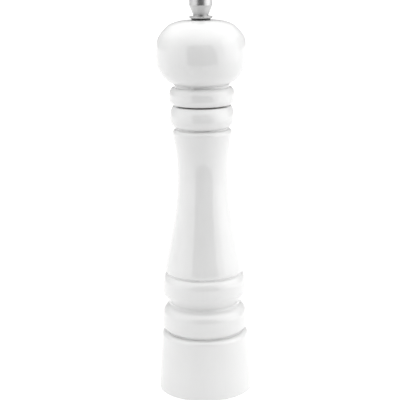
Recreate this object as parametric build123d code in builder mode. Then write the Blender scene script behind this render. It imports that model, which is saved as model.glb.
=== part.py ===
from build123d import *
from math import atan2, cos, degrees, radians, sin, tan
import os

# A turned wooden pepper mill. Its frame has the origin at the centre of the base, on the table, with
# +Z up the axis that everything turns about. All sizes are millimetres and degrees.

# Heights above the table
MILL_TOP = 300.0
HEAD_TOP = 280.2
HEAD_RIM = 218.9
BODY_TOP = 217.7

# Bores of the wooden body
RECESS_R, RECESS_TOP = 26.0, 8.0
FLANGE_SEAT_R, FLANGE_SEAT_TOP = 19.2, 10.0
POCKET_R, POCKET_TOP = 16.8, 41.0
RESERVOIR_R = 13.5
SOCKET_R, SOCKET_FLOOR = 15.8, 201.5

# Spigot of the head, which turns in the socket of the body
SPIGOT_R, SPIGOT_BOTTOM, SPIGOT_EDGE = 15.5, 204.5, 0.6
BOSS_R, BOSS_BOTTOM = 17.5, 218.0
HEAD_BORE_R = 4.5

# Spindle: a square bar with a turned journal below and a screw thread above
SQUARE = 6.0
SQUARE_CHAMFER = 0.5
SQUARE_BOTTOM, SQUARE_TOP = 12.5, 266.0
JOURNAL_R, JOURNAL_BOTTOM = 2.5, 4.6
THREAD_R, THREAD_TOP = 2.5, 293.0
SHAFT_EDGE = 0.5
FIT = 0.05
SLIDING_SQUARE = SQUARE + 4 * FIT
TIGHT_SQUARE = SQUARE + FIT

# Burrs: an outer ring (stator) fixed in the body and an inner cone (rotor) on the spindle
CONE = 18.0
STATOR_BOTTOM, STATOR_TOP = 8.0, 28.0
STATOR_R, STATOR_FLANGE_R = 15.0, 19.0
STATOR_MOUTH_R, THROAT_Z, FUNNEL_R = 13.2, 17.0, 13.0
ROTOR_BOTTOM, ROTOR_TOP = 9.2, 24.0
GRIND_GAP = 0.55
ROTOR_HOLLOW_R, HOLLOW_EDGE = 8.5, 0.6

# Grooves of the burrs. Each leans by its skew from the straight lines of the cone it's cut in
TEETH, TOOTH_WIDTH, TOOTH_DEPTH, TOOTH_SKEW = 30, 1.5, 0.8, 15.0
STATOR_TOOTH_LENGTH, ROTOR_TOOTH_LENGTH = 12.0, 6.0
FUNNEL_FLUTES, FUNNEL_FLUTE_WIDTH, FUNNEL_FLUTE_DEPTH = 8, 4.0, 0.9
FUNNEL_FLUTE_SKEW, FUNNEL_FLUTE_LENGTH = 20.0, 16.0
ROTOR_FLUTES, ROTOR_FLUTE_WIDTH, ROTOR_FLUTE_DEPTH = 6, 4.6, 2.2
ROTOR_FLUTE_SKEW, ROTOR_FLUTE_LENGTH = 35.0, 14.0
ROTOR_TOOTH_Z, ROTOR_FLUTE_DROP = 2.4, 4.5
GROOVE_LIP = 0.4

# Bridge over the burrs, with its rivets
BRIDGE_UNDERSIDE, BRIDGE_GAUGE, BRIDGE_WIDTH = 38.0, 1.2, 9.0
BRIDGE_BEND, BRIDGE_BORE_R = 3.0, 4.2
LEG_INSIDE, LEG_BOTTOM, LEG_PLAY = 14.2, 19.0, 0.2
RIVET_R, RIVET_Z, RIVET_GRIP = 1.25, 23.0, 1.4
RIVET_HEAD_R, RIVET_HEAD = 1.8, 0.9

# Bar across the recess, with its two wood screws
BAR_LENGTH, BAR_WIDTH, BAR_GAUGE, BAR_EDGE = 50.0, 10.0, 1.5, 0.3
BAR_SCREW_X, BAR_SCREW_SHANK, BAR_PILOT = 21.6, 12.5, 12.0
BAR_BOTTOM = RECESS_TOP - BAR_GAUGE

# Washers, clip and spring on the spindle
WASHER_GAUGE = 0.8
SEAT_WASHER_R = 6.5
THRUST_WASHER_R, THRUST_WASHER_GAUGE = 7.0, 1.0
THRUST_WASHER_Z = 36.8
ROTOR_WASHER_R = 5.5
CLIP_R, CLIP_BORE_R, CLIP_GAUGE, CLIP_MOUTH, CLIP_NOTCH_R = 4.6, 2.05, 0.7, 3.4, 0.9
CLIP_GROOVE_R, CLIP_GROOVE = 2.0, 0.8
SPRING_R, WIRE_R, SPRING_TURNS = 5.4, 0.6, 4.5

# Drive plate under the spigot, with its two wood screws
PLATE_R, PLATE_GAUGE, PLATE_EDGE = 12.5, 1.6, 0.25
PLATE_SCREW_X, PLATE_SCREW_SHANK, PLATE_PILOT = 8.6, 9.5, 10.0

# Knob and the washer under it
KNOB_WASHER_R, KNOB_WASHER_GAUGE, KNOB_WASHER_EDGE = 6.9, 1.0, 0.15
KNOB_BOTTOM = HEAD_TOP + KNOB_WASHER_GAUGE + 2 * FIT
KNOB_BORE_TOP = 296.0

# Wood screws
SCREW_R, SCREW_CLEAR_R = 1.45, 1.6
PAN_HEAD_R, PAN_HEAD, PAN_FLAT_R = 2.9, 1.7, 1.7
SUNK_HEAD_R, SUNK_HEAD, SUNK_RIM = 2.7, 1.25, 0.25
CROSS_LENGTH, CROSS_WIDTH, CROSS_DEPTH = 3.0, 0.7, 0.9

UP = (Align.CENTER, Align.CENTER, Align.MIN)


def save(piece, name):
    """Labels a finished piece and writes it to its own file."""
    piece.part.label = name
    export_step(piece.part, f"parts/{name}.step")


def rotor_radius(height):
    """Radius of the rotor's cone at a height, which stays one gap inside the stator's cone."""
    return STATOR_MOUTH_R - GRIND_GAP - (height - STATOR_BOTTOM) * tan(radians(CONE))


def cone_groove(radius, height, cone, skew, length, width, depth):
    """A straight V groove on a cone, centred at a radius and height on the +X side.

    It leans from the cone's own straight lines by the skew. A positive depth cuts away from the
    axis, into a ring, and a negative one cuts towards it, into a core."""
    a, b = radians(cone), radians(skew)
    along = Vector(-sin(a) * cos(b), sin(b), cos(a) * cos(b))
    across = Vector(sin(a) * sin(b), cos(b), -cos(a) * sin(b))
    lip = GROOVE_LIP if depth > 0 else -GROOVE_LIP
    half = width / 2 * (1 + abs(lip / depth))
    with BuildPart() as groove:
        with BuildSketch(Plane(origin=(radius, 0, height), x_dir=across, z_dir=along)):
            with BuildLine():
                Polyline((-half, lip), (half, lip), (0, -depth), close=True)
            make_face()
        extrude(amount=length / 2, both=True)
    return groove.part


def wood_screws(head_z, spacing, shank, sunk):
    """Two cross-head wood screws that go up into wood from below, one each side of the axis.

    head_z is the underside of the heads. A sunk head tapers to the shank, and a pan head is round."""
    neck_z = head_z + (SUNK_HEAD if sunk else PAN_HEAD)
    tip_z = neck_z + shank
    with BuildPart() as screw:
        with BuildSketch(Plane.XZ):
            with BuildLine():
                if sunk:
                    face = Line((0, head_z), (SUNK_HEAD_R, head_z))
                    side = Polyline(face @ 1, (SUNK_HEAD_R, head_z + SUNK_RIM), (SCREW_R, neck_z))
                else:
                    face = Line((0, head_z), (PAN_FLAT_R, head_z))
                    dome = JernArc(face @ 1, (1, 0), PAN_HEAD_R - PAN_FLAT_R, 90)
                    side = Polyline(dome @ 1, (PAN_HEAD_R, neck_z), (SCREW_R, neck_z))
                Polyline(side @ 1, (SCREW_R, tip_z - 2 * SCREW_R), (0, tip_z), face @ 0)
            make_face()
        revolve(axis=Axis.Z)
        with BuildSketch(Plane.XY.offset(head_z)):
            Rectangle(CROSS_LENGTH, CROSS_WIDTH)
            Rectangle(CROSS_WIDTH, CROSS_LENGTH)
        extrude(amount=CROSS_DEPTH, mode=Mode.SUBTRACT)
    with BuildPart() as pair:
        with Locations((spacing, 0, 0), (-spacing, 0, 0)):
            add(screw.part)
    return pair


os.makedirs("parts", exist_ok=True)

# ---------------------------------------------------------------- wooden body
with BuildPart() as body:
    with BuildSketch(Plane.XZ):
        with BuildLine():
            # Foot and the plain drum of the base, which leans in a little as it rises
            foot = Line((0, 0), (34.95, 0))
            foot_edge = ThreePointArc(foot @ 1, (35.25, 0.12), (35.35, 0.4))
            drum = ThreePointArc(foot_edge @ 1, (34.4, 21.5), (32.95, 42.0))
            drum_edge = ThreePointArc(drum @ 1, (32.3, 43.9), (30.6, 45.1))
            # Lower bead, between two grooves
            groove_1 = Polyline(drum_edge @ 1, (28.9, 45.4), (28.9, 46.2))
            bead_1_foot = ThreePointArc(groove_1 @ 1, (31.3, 48.5), (32.35, 52.6))
            bead_1 = Line(bead_1_foot @ 1, (32.35, 59.0))
            bead_1_top = ThreePointArc(bead_1 @ 1, (31.1, 62.9), (27.7, 66.0))
            # Cove that opens up to the upper bead
            cove_foot = ThreePointArc(bead_1_top @ 1, (26.4, 67.2), (26.4, 68.6))
            cove = ThreePointArc(cove_foot @ 1, (28.8, 71.9), (31.0, 75.2))
            bead_2_foot = ThreePointArc(cove @ 1, (31.55, 76.5), (31.75, 77.6))
            bead_2 = Line(bead_2_foot @ 1, (31.75, 83.2))
            bead_2_top = ThreePointArc(bead_2 @ 1, (31.2, 87.0), (29.4, 90.1))
            groove_2 = Polyline(bead_2_top @ 1, (28.3, 90.8), (28.3, 91.6))
            taper_foot = ThreePointArc(groove_2 @ 1, (29.3, 92.5), (29.6, 93.9))
            # Long taper to the waist and out again
            taper = Spline(
                taper_foot @ 1,
                (27.4, 106.0),
                (24.0, 122.0),
                (20.75, 141.0),
                (19.0, 165.0),
                (20.0, 185.5),
                (22.0, 197.2),
                tangents=[(-0.05, 1), (0.18, 1)],
            )
            taper_edge = ThreePointArc(taper @ 1, (21.85, 198.9), (20.7, 200.4))
            groove_3 = Polyline(taper_edge @ 1, (19.2, 200.8), (19.2, 201.7))
            # Top bead, up to the rim
            rim_bead_foot = ThreePointArc(groove_3 @ 1, (22.7, 204.4), (24.1, 208.2))
            rim_bead = Line(rim_bead_foot @ 1, (24.1, 210.9))
            rim_bead_top = ThreePointArc(rim_bead @ 1, (23.35, 214.1), (21.8, 217.4))
            rim = Polyline(rim_bead_top @ 1, (21.5, BODY_TOP), (0, BODY_TOP), foot @ 0)
        make_face()
    revolve(axis=Axis.Z)
    for radius, floor, ceiling in (
        (RECESS_R, 0, RECESS_TOP),
        (FLANGE_SEAT_R, RECESS_TOP, FLANGE_SEAT_TOP),
        (POCKET_R, FLANGE_SEAT_TOP, POCKET_TOP),
        (RESERVOIR_R, POCKET_TOP, SOCKET_FLOOR),
        (SOCKET_R, SOCKET_FLOOR, BODY_TOP),
    ):
        with Locations((0, 0, floor)):
            Cylinder(radius, ceiling - floor, align=UP, mode=Mode.SUBTRACT)
    # Sloping ceiling of the pocket, which guides the peppercorns down
    with Locations((0, 0, POCKET_TOP)):
        Cone(POCKET_R, RESERVOIR_R, POCKET_R - RESERVOIR_R, align=UP, mode=Mode.SUBTRACT)
    # Pilot holes of the bar's screws
    with Locations((BAR_SCREW_X, 0, RECESS_TOP), (-BAR_SCREW_X, 0, RECESS_TOP)):
        Cylinder(SCREW_R + FIT, BAR_PILOT, align=UP, mode=Mode.SUBTRACT)
save(body, "body")

# ---------------------------------------------------------------- turned head
with BuildPart() as head:
    with BuildSketch(Plane.XZ):
        with BuildLine():
            spigot = Polyline(
                (0, SPIGOT_BOTTOM),
                (SPIGOT_R - SPIGOT_EDGE, SPIGOT_BOTTOM),
                (SPIGOT_R, SPIGOT_BOTTOM + SPIGOT_EDGE),
                (SPIGOT_R, BOSS_BOTTOM),
                (BOSS_R, BOSS_BOTTOM),
                (BOSS_R, HEAD_RIM),
                (21.5, HEAD_RIM),
                (21.9, HEAD_RIM + 0.2),
            )
            # Bead above the rim
            bead_foot = ThreePointArc(spigot @ 1, (23.6, 220.9), (24.3, 223.6))
            bead = Line(bead_foot @ 1, (24.3, 225.5))
            bead_top = ThreePointArc(bead @ 1, (23.65, 229.0), (21.9, 231.5))
            # Short neck under the ball
            neck = Polyline(bead_top @ 1, (20.2, 231.9), (20.2, 233.5))
            ball_foot = ThreePointArc(neck @ 1, (21.5, 234.4), (22.4, 234.7))
            crown = ThreePointArc((22.2, 277.6), (17.3, 279.35), (9.0, HEAD_TOP))
            ball = Spline(
                ball_foot @ 1,
                (27.0, 238.0),
                (31.2, 244.0),
                (33.5, 255.5),
                (31.0, 268.8),
                (27.0, 273.9),
                crown @ 0,
                tangents=[(1, 0.42), crown % 0],
            )
            Polyline(crown @ 1, (0, HEAD_TOP), (0, SPIGOT_BOTTOM))
        make_face()
    revolve(axis=Axis.Z)
    with Locations((0, 0, SPIGOT_BOTTOM)):
        Cylinder(HEAD_BORE_R, HEAD_TOP - SPIGOT_BOTTOM, align=UP, mode=Mode.SUBTRACT)
    # Pilot holes of the drive plate's screws
    with Locations((PLATE_SCREW_X, 0, SPIGOT_BOTTOM), (-PLATE_SCREW_X, 0, SPIGOT_BOTTOM)):
        Cylinder(SCREW_R + FIT, PLATE_PILOT, align=UP, mode=Mode.SUBTRACT)
save(head, "head")

# ---------------------------------------------------------------- knob and its washer
with BuildPart() as knob:
    with BuildSketch(Plane.XZ):
        with BuildLine():
            underside = Line((0, KNOB_BOTTOM), (7.2, KNOB_BOTTOM))
            # Dished flange with a rounded rim
            dish = ThreePointArc(underside @ 1, (8.15, 281.7), (8.5, 282.4))
            lip = ThreePointArc(dish @ 1, (8.5, 282.8), (8.15, 283.0))
            # Waist that flares up to the girdle
            flare = Polyline(lip @ 1, (5.5, 283.35), (5.5, 283.6), (8.2, 290.5))
            girdle = ThreePointArc(flare @ 1, (8.37, 290.8), (8.4, 291.2))
            grip = Line(girdle @ 1, (8.4, 296.3))
            shoulder = ThreePointArc(grip @ 1, (7.85, 298.2), (6.1, 299.3))
            crown = Spline(shoulder @ 1, (3.2, 299.8), (0, MILL_TOP), tangents=[(-1, 0.35), (-1, 0)])
            Line(crown @ 1, underside @ 0)
        make_face()
    revolve(axis=Axis.Z)
    with Locations((0, 0, KNOB_BOTTOM)):
        Cylinder(THREAD_R + FIT, KNOB_BORE_TOP - KNOB_BOTTOM, align=UP, mode=Mode.SUBTRACT)
save(knob, "knob")

with BuildPart(Plane.XY.offset(HEAD_TOP)) as knob_washer:
    Cylinder(KNOB_WASHER_R, KNOB_WASHER_GAUGE, align=UP)
    Cylinder(THREAD_R + 2 * FIT, KNOB_WASHER_GAUGE, align=UP, mode=Mode.SUBTRACT)
    rims = knob_washer.edges().filter_by(GeomType.CIRCLE).sort_by(SortBy.RADIUS)[-2:]
    chamfer(rims, KNOB_WASHER_EDGE)
save(knob_washer, "knob_washer")

# ---------------------------------------------------------------- drive plate under the spigot
with BuildPart(Plane.XY.offset(SPIGOT_BOTTOM - PLATE_GAUGE)) as drive_plate:
    Cylinder(PLATE_R, PLATE_GAUGE, align=UP)
    chamfer(drive_plate.edges().filter_by(GeomType.CIRCLE), PLATE_EDGE)
    with BuildSketch(Plane.XY.offset(SPIGOT_BOTTOM - PLATE_GAUGE)):
        Rectangle(SLIDING_SQUARE, SLIDING_SQUARE)
    extrude(amount=PLATE_GAUGE, mode=Mode.SUBTRACT)
    with Locations((PLATE_SCREW_X, 0, 0), (-PLATE_SCREW_X, 0, 0)):
        Cylinder(SCREW_R + FIT, PLATE_GAUGE, align=UP, mode=Mode.SUBTRACT)
        Cylinder(SUNK_HEAD_R + 2 * FIT, SUNK_RIM, align=UP, mode=Mode.SUBTRACT)
    with Locations((PLATE_SCREW_X, 0, SUNK_RIM), (-PLATE_SCREW_X, 0, SUNK_RIM)):
        Cone(
            SUNK_HEAD_R + 2 * FIT,
            SCREW_R + 2 * FIT,
            SUNK_HEAD - SUNK_RIM,
            align=UP,
            mode=Mode.SUBTRACT,
        )
save(drive_plate, "drive_plate")

plate_screws = wood_screws(
    SPIGOT_BOTTOM - PLATE_GAUGE, PLATE_SCREW_X, PLATE_SCREW_SHANK, sunk=True
)
save(plate_screws, "drive_plate_screws")

# ---------------------------------------------------------------- spindle
with BuildPart() as shaft:
    with BuildSketch(Plane.XY.offset(SQUARE_BOTTOM)) as bar:
        Rectangle(SQUARE, SQUARE)
        chamfer(bar.vertices(), SQUARE_CHAMFER)
    extrude(amount=SQUARE_TOP - SQUARE_BOTTOM)
    with Locations((0, 0, SQUARE_TOP)):
        Cylinder(THREAD_R, THREAD_TOP - SQUARE_TOP, align=UP)
    with Locations((0, 0, JOURNAL_BOTTOM)):
        Cylinder(JOURNAL_R, SQUARE_BOTTOM - JOURNAL_BOTTOM, align=UP)
    chamfer(shaft.faces().sort_by(Axis.Z)[-1].edges(), SHAFT_EDGE)
    chamfer(shaft.faces().sort_by(Axis.Z)[0].edges(), SHAFT_EDGE)
    # Groove of the clip, close under the rotor's washer
    groove_top = SQUARE_BOTTOM - WASHER_GAUGE
    with BuildSketch(Plane.XY.offset(groove_top - CLIP_GROOVE)):
        Circle(JOURNAL_R)
        Circle(CLIP_GROOVE_R, mode=Mode.SUBTRACT)
    extrude(amount=CLIP_GROOVE, mode=Mode.SUBTRACT)
save(shaft, "shaft")

# ---------------------------------------------------------------- burrs
with BuildPart() as stator:
    with BuildSketch(Plane.XZ):
        throat_r = STATOR_MOUTH_R - (THROAT_Z - STATOR_BOTTOM) * tan(radians(CONE))
        with BuildLine():
            Polyline(
                (STATOR_MOUTH_R, STATOR_BOTTOM),
                (STATOR_FLANGE_R, STATOR_BOTTOM),
                (STATOR_FLANGE_R, FLANGE_SEAT_TOP - FIT),
                (STATOR_R, FLANGE_SEAT_TOP - FIT),
                (STATOR_R, STATOR_TOP),
                (FUNNEL_R, STATOR_TOP),
                (throat_r, THROAT_Z),
                close=True,
            )
        make_face()
    revolve(axis=Axis.Z)
    # Flats for the legs of the bridge, and the holes of its rivets
    for side in (1, -1):
        with Locations((side * (LEG_INSIDE + STATOR_R) / 2, 0, LEG_BOTTOM - LEG_PLAY)):
            Box(
                STATOR_R - LEG_INSIDE,
                BRIDGE_WIDTH + 2 * LEG_PLAY,
                STATOR_TOP - LEG_BOTTOM + LEG_PLAY,
                align=UP,
                mode=Mode.SUBTRACT,
            )
    with Locations(Plane(origin=(0, 0, RIVET_Z), z_dir=(1, 0, 0))):
        Cylinder(RIVET_R + FIT / 2, 2 * STATOR_R, mode=Mode.SUBTRACT)
    # Fine teeth of the mouth
    tooth_z = (STATOR_BOTTOM + THROAT_Z) / 2
    tooth = cone_groove(
        (STATOR_MOUTH_R + throat_r) / 2,
        tooth_z,
        CONE,
        TOOTH_SKEW,
        STATOR_TOOTH_LENGTH,
        TOOTH_WIDTH,
        TOOTH_DEPTH,
    )
    with PolarLocations(0, TEETH):
        add(tooth, mode=Mode.SUBTRACT)
    # Wide flutes of the funnel, which crack the corns
    flute = cone_groove(
        (throat_r + FUNNEL_R) / 2,
        (THROAT_Z + STATOR_TOP) / 2,
        degrees(atan2(throat_r - FUNNEL_R, STATOR_TOP - THROAT_Z)),
        FUNNEL_FLUTE_SKEW,
        FUNNEL_FLUTE_LENGTH,
        FUNNEL_FLUTE_WIDTH,
        FUNNEL_FLUTE_DEPTH,
    )
    with PolarLocations(0, FUNNEL_FLUTES, start_angle=180 / FUNNEL_FLUTES):
        add(flute, mode=Mode.SUBTRACT)
save(stator, "stator")

with BuildPart() as rotor:
    with BuildSketch(Plane.XZ):
        with BuildLine():
            Polyline(
                (0, SQUARE_BOTTOM),
                (ROTOR_HOLLOW_R - HOLLOW_EDGE, SQUARE_BOTTOM),
                (ROTOR_HOLLOW_R, SQUARE_BOTTOM - HOLLOW_EDGE),
                (ROTOR_HOLLOW_R, ROTOR_BOTTOM),
                (rotor_radius(ROTOR_BOTTOM), ROTOR_BOTTOM),
                (rotor_radius(ROTOR_TOP), ROTOR_TOP),
                (0, ROTOR_TOP),
                close=True,
            )
        make_face()
    revolve(axis=Axis.Z)
    with BuildSketch(Plane.XY.offset(ROTOR_BOTTOM)):
        Rectangle(TIGHT_SQUARE, TIGHT_SQUARE)
    extrude(amount=ROTOR_TOP - ROTOR_BOTTOM, mode=Mode.SUBTRACT)
    tooth_z = ROTOR_BOTTOM + ROTOR_TOOTH_Z
    tooth = cone_groove(
        rotor_radius(tooth_z),
        tooth_z,
        CONE,
        -TOOTH_SKEW,
        ROTOR_TOOTH_LENGTH,
        TOOTH_WIDTH,
        -TOOTH_DEPTH,
    )
    with PolarLocations(0, TEETH):
        add(tooth, mode=Mode.SUBTRACT)
    flute_z = ROTOR_TOP - ROTOR_FLUTE_DROP
    flute = cone_groove(
        rotor_radius(flute_z),
        flute_z,
        CONE,
        -ROTOR_FLUTE_SKEW,
        ROTOR_FLUTE_LENGTH,
        ROTOR_FLUTE_WIDTH,
        -ROTOR_FLUTE_DEPTH,
    )
    with PolarLocations(0, ROTOR_FLUTES):
        add(flute, mode=Mode.SUBTRACT)
save(rotor, "rotor")

# ---------------------------------------------------------------- washers, clip and spring
with BuildPart(Plane.XY.offset(SQUARE_BOTTOM - WASHER_GAUGE)) as rotor_washer:
    Cylinder(ROTOR_WASHER_R, WASHER_GAUGE, align=UP)
    Cylinder(JOURNAL_R + FIT, WASHER_GAUGE, align=UP, mode=Mode.SUBTRACT)
save(rotor_washer, "rotor_washer")

clip_z = SQUARE_BOTTOM - WASHER_GAUGE - (CLIP_GROOVE + CLIP_GAUGE) / 2
with BuildPart() as rotor_clip:
    with BuildSketch(Plane.XY.offset(clip_z)):
        Circle(CLIP_R)
        Circle(CLIP_BORE_R, mode=Mode.SUBTRACT)
        with Locations((CLIP_R / 2, 0)):
            Rectangle(CLIP_R, CLIP_MOUTH, mode=Mode.SUBTRACT)
        # Two notches that leave three lugs on the journal
        with PolarLocations(CLIP_BORE_R, 2, start_angle=125, angular_range=110, endpoint=True):
            Circle(CLIP_NOTCH_R, mode=Mode.SUBTRACT)
    extrude(amount=CLIP_GAUGE)
save(rotor_clip, "rotor_clip")

for name, radius, gauge, floor, hole in (
    ("spring_washer", SEAT_WASHER_R, WASHER_GAUGE, ROTOR_TOP, TIGHT_SQUARE),
    ("thrust_washer", THRUST_WASHER_R, THRUST_WASHER_GAUGE, THRUST_WASHER_Z, SLIDING_SQUARE),
):
    with BuildPart() as square_washer:
        with BuildSketch(Plane.XY.offset(floor)):
            Circle(radius)
            Rectangle(hole, hole, mode=Mode.SUBTRACT)
        extrude(amount=gauge)
    save(square_washer, name)

spring_bottom = ROTOR_TOP + WASHER_GAUGE + WIRE_R + FIT
spring_length = THRUST_WASHER_Z - WIRE_R - FIT - spring_bottom
with BuildPart() as spring:
    with BuildLine(Plane.XY.offset(spring_bottom)) as coil:
        Helix(pitch=spring_length / SPRING_TURNS, height=spring_length, radius=SPRING_R)
    with BuildSketch(Plane(origin=coil.line @ 0, z_dir=coil.line % 0)):
        Circle(WIRE_R)
    sweep(is_frenet=True)
save(spring, "spring")

# ---------------------------------------------------------------- bridge and its rivets
with BuildPart() as bridge:
    leg_height = BRIDGE_UNDERSIDE - LEG_BOTTOM
    leg_outside = LEG_INSIDE + BRIDGE_GAUGE
    with BuildSketch(Plane.XZ) as strap:
        with Locations((0, LEG_BOTTOM)):
            Rectangle(2 * leg_outside, leg_height + BRIDGE_GAUGE, align=(Align.CENTER, Align.MIN))
        fillet(strap.vertices().sort_by(Axis.Y)[-2:], BRIDGE_BEND)
    extrude(amount=BRIDGE_WIDTH / 2, both=True)
    with BuildSketch(Plane.XZ) as inside:
        with Locations((0, LEG_BOTTOM)):
            Rectangle(2 * LEG_INSIDE, leg_height, align=(Align.CENTER, Align.MIN))
        fillet(inside.vertices().sort_by(Axis.Y)[-2:], BRIDGE_BEND - BRIDGE_GAUGE)
    extrude(amount=BRIDGE_WIDTH / 2, both=True, mode=Mode.SUBTRACT)
    with Locations((0, 0, BRIDGE_UNDERSIDE)):
        Cylinder(BRIDGE_BORE_R, BRIDGE_GAUGE, align=UP, mode=Mode.SUBTRACT)
    with Locations(Plane(origin=(0, 0, RIVET_Z), z_dir=(1, 0, 0))):
        Cylinder(RIVET_R + FIT / 2, 2 * leg_outside, mode=Mode.SUBTRACT)
save(bridge, "bridge")

with BuildPart() as rivet:
    with BuildSketch(Plane.XZ):
        with BuildLine():
            shank_end = LEG_INSIDE - RIVET_GRIP
            shank = Polyline((0, shank_end), (RIVET_R, shank_end), (RIVET_R, leg_outside))
            collar = Line(shank @ 1, (RIVET_HEAD_R, leg_outside))
            dome = Spline(collar @ 1, (0, leg_outside + RIVET_HEAD), tangents=[(0, 1), (-1, 0)])
            Line(dome @ 1, shank @ 0)
        make_face()
    revolve(axis=Axis.Z)
with BuildPart() as bridge_rivets:
    for side in (1, -1):
        with Locations(Plane(origin=(0, 0, RIVET_Z), x_dir=(0, 1, 0), z_dir=(side, 0, 0))):
            add(rivet.part)
save(bridge_rivets, "bridge_rivets")

# ---------------------------------------------------------------- retaining bar and its screws
with BuildPart(Plane.XY.offset(BAR_BOTTOM)) as retaining_bar:
    with BuildSketch(Plane.XY.offset(BAR_BOTTOM)):
        SlotOverall(BAR_LENGTH, BAR_WIDTH)
    extrude(amount=BAR_GAUGE)
    chamfer(retaining_bar.faces().sort_by(Axis.Z)[0].edges(), BAR_EDGE)
    Cylinder(JOURNAL_R + FIT, BAR_GAUGE, align=UP, mode=Mode.SUBTRACT)
    with Locations((BAR_SCREW_X, 0, 0), (-BAR_SCREW_X, 0, 0)):
        Cylinder(SCREW_CLEAR_R, BAR_GAUGE, align=UP, mode=Mode.SUBTRACT)
save(retaining_bar, "retaining_bar")

bar_screws = wood_screws(BAR_BOTTOM - PAN_HEAD, BAR_SCREW_X, BAR_SCREW_SHANK, sunk=False)
save(bar_screws, "bar_screws")
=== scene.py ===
from math import atan2, ceil, cos, hypot, pi, radians, sin, tan

import bmesh
import bpy
import numpy as np
from mathutils import Matrix, Vector


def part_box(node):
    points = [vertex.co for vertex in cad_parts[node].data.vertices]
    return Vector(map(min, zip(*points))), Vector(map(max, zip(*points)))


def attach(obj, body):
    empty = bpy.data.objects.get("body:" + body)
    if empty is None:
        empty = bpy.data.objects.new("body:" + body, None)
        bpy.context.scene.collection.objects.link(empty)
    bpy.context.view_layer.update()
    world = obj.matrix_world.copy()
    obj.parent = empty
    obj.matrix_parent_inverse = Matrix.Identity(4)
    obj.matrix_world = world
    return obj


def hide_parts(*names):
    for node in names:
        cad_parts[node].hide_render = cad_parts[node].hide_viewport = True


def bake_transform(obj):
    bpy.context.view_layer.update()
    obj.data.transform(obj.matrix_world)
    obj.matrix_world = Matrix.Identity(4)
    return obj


# The pepper mill's looks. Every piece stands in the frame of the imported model: +Z up, with the origin
# at the centre of the base. Outlines are in millimetres and become metres when a mesh is made.

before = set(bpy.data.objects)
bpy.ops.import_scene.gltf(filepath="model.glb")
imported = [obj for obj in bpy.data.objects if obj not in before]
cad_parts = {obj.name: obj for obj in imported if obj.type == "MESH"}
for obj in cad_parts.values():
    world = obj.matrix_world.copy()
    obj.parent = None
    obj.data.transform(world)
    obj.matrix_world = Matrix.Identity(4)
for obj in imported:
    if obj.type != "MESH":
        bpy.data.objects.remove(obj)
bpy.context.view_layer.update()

MM = 0.001
TURN = 2 * pi
CREASE = radians(28)


def low(node):
    """Height of the bottom of a CAD node, in millimetres."""
    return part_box(node)[0].z / MM


def high(node):
    """Height of the top of a CAD node, in millimetres."""
    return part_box(node)[1].z / MM


def reach(node, axis=0):
    """How far a CAD node reaches from the mill's axis along +X, or along another axis, in millimetres."""
    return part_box(node)[1][axis] / MM


# ---------------------------------------------------------------- outlines of turned pieces
class Outline:
    """The closed half outline of a turned piece: (radius, height) points, each with the number of the
    material on the stretch that ends there."""

    def __init__(self, start, step=0.7):
        self.points = [start]
        self.paint = [0]
        self.step = step
        self.coat = 0

    def add(self, radius, height):
        self.points.append((radius, height))
        self.paint.append(self.coat)

    def to(self, *ends):
        """Straight stretches, cut into short steps so that shading stays even."""
        for end in ends:
            start = self.points[-1]
            count = max(1, ceil(hypot(end[0] - start[0], end[1] - start[1]) / (3 * self.step)))
            for k in range(1, count + 1):
                self.add(*(a + (b - a) * k / count for a, b in zip(start, end)))
        return self

    def arc(self, through, end):
        """An arc from the last point through one point to another."""
        (ax, ay), (bx, by), (cx, cy) = self.points[-1], through, end
        d = 2 * (ax * (by - cy) + bx * (cy - ay) + cx * (ay - by))
        a2, b2, c2 = ax * ax + ay * ay, bx * bx + by * by, cx * cx + cy * cy
        x = (a2 * (by - cy) + b2 * (cy - ay) + c2 * (ay - by)) / d
        y = (a2 * (cx - bx) + b2 * (ax - cx) + c2 * (bx - ax)) / d
        radius = hypot(ax - x, ay - y)
        first, last = atan2(ay - y, ax - x), atan2(cy - y, cx - x)
        sweep = (last - first) % TURN if d > 0 else -((first - last) % TURN)
        count = max(3, ceil(abs(sweep) * radius / self.step), ceil(abs(sweep) / radians(9)))
        for k in range(1, count + 1):
            angle = first + sweep * k / count
            self.add(x + radius * cos(angle), y + radius * sin(angle))
        return self

    def curve(self, *points, first, last):
        """A smooth curve from the last point through others, with its direction at both ends given."""
        p = np.array([self.points[-1], *points])
        h = np.linalg.norm(np.diff(p, axis=0), axis=1)
        slope = np.diff(p, axis=0) / h[:, None]
        system = np.eye(len(p))
        right = np.array([np.zeros(2)] * len(p))
        right[0] = np.array(first) / hypot(*first)
        right[-1] = np.array(last) / hypot(*last)
        for k in range(1, len(p) - 1):
            system[k, k - 1 : k + 2] = h[k], 2 * (h[k - 1] + h[k]), h[k - 1]
            right[k] = 3 * (h[k] * slope[k - 1] + h[k - 1] * slope[k])
        m = np.linalg.solve(system, right)
        for k in range(len(h)):
            count = max(2, ceil(h[k] / self.step))
            for t in np.arange(1, count + 1) / count:
                at = (1 + 2 * t) * (1 - t) ** 2 * p[k] + t * t * (3 - 2 * t) * p[k + 1]
                at = at + h[k] * (t * (1 - t) ** 2 * m[k] - t * t * (1 - t) * m[k + 1])
                self.add(*at)
        return self

    def coated(self, number):
        """The stretches from here on have this material."""
        self.coat = number
        return self

    def closed(self):
        """Drops the last point, which repeats the first."""
        self.points.pop()
        self.paint.pop()
        return self


# ---------------------------------------------------------------- meshes
def finish_piece(name, body, nodes, coats, ends=None):
    """Gives a new mesh object its materials and smooth shading, hangs it on its body and hides the CAD nodes
    it stands for.
    With ends, the mesh is baked in place instead of being hung on a body."""
    piece = bpy.data.objects[name]
    for coat in coats:
        piece.data.materials.append(coat)
    piece.data.shade_smooth()
    piece.data.set_sharp_from_angle(angle=CREASE)
    if ends:
        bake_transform(piece)
    else:
        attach(piece, body)
    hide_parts(*nodes)
    return piece


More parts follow.
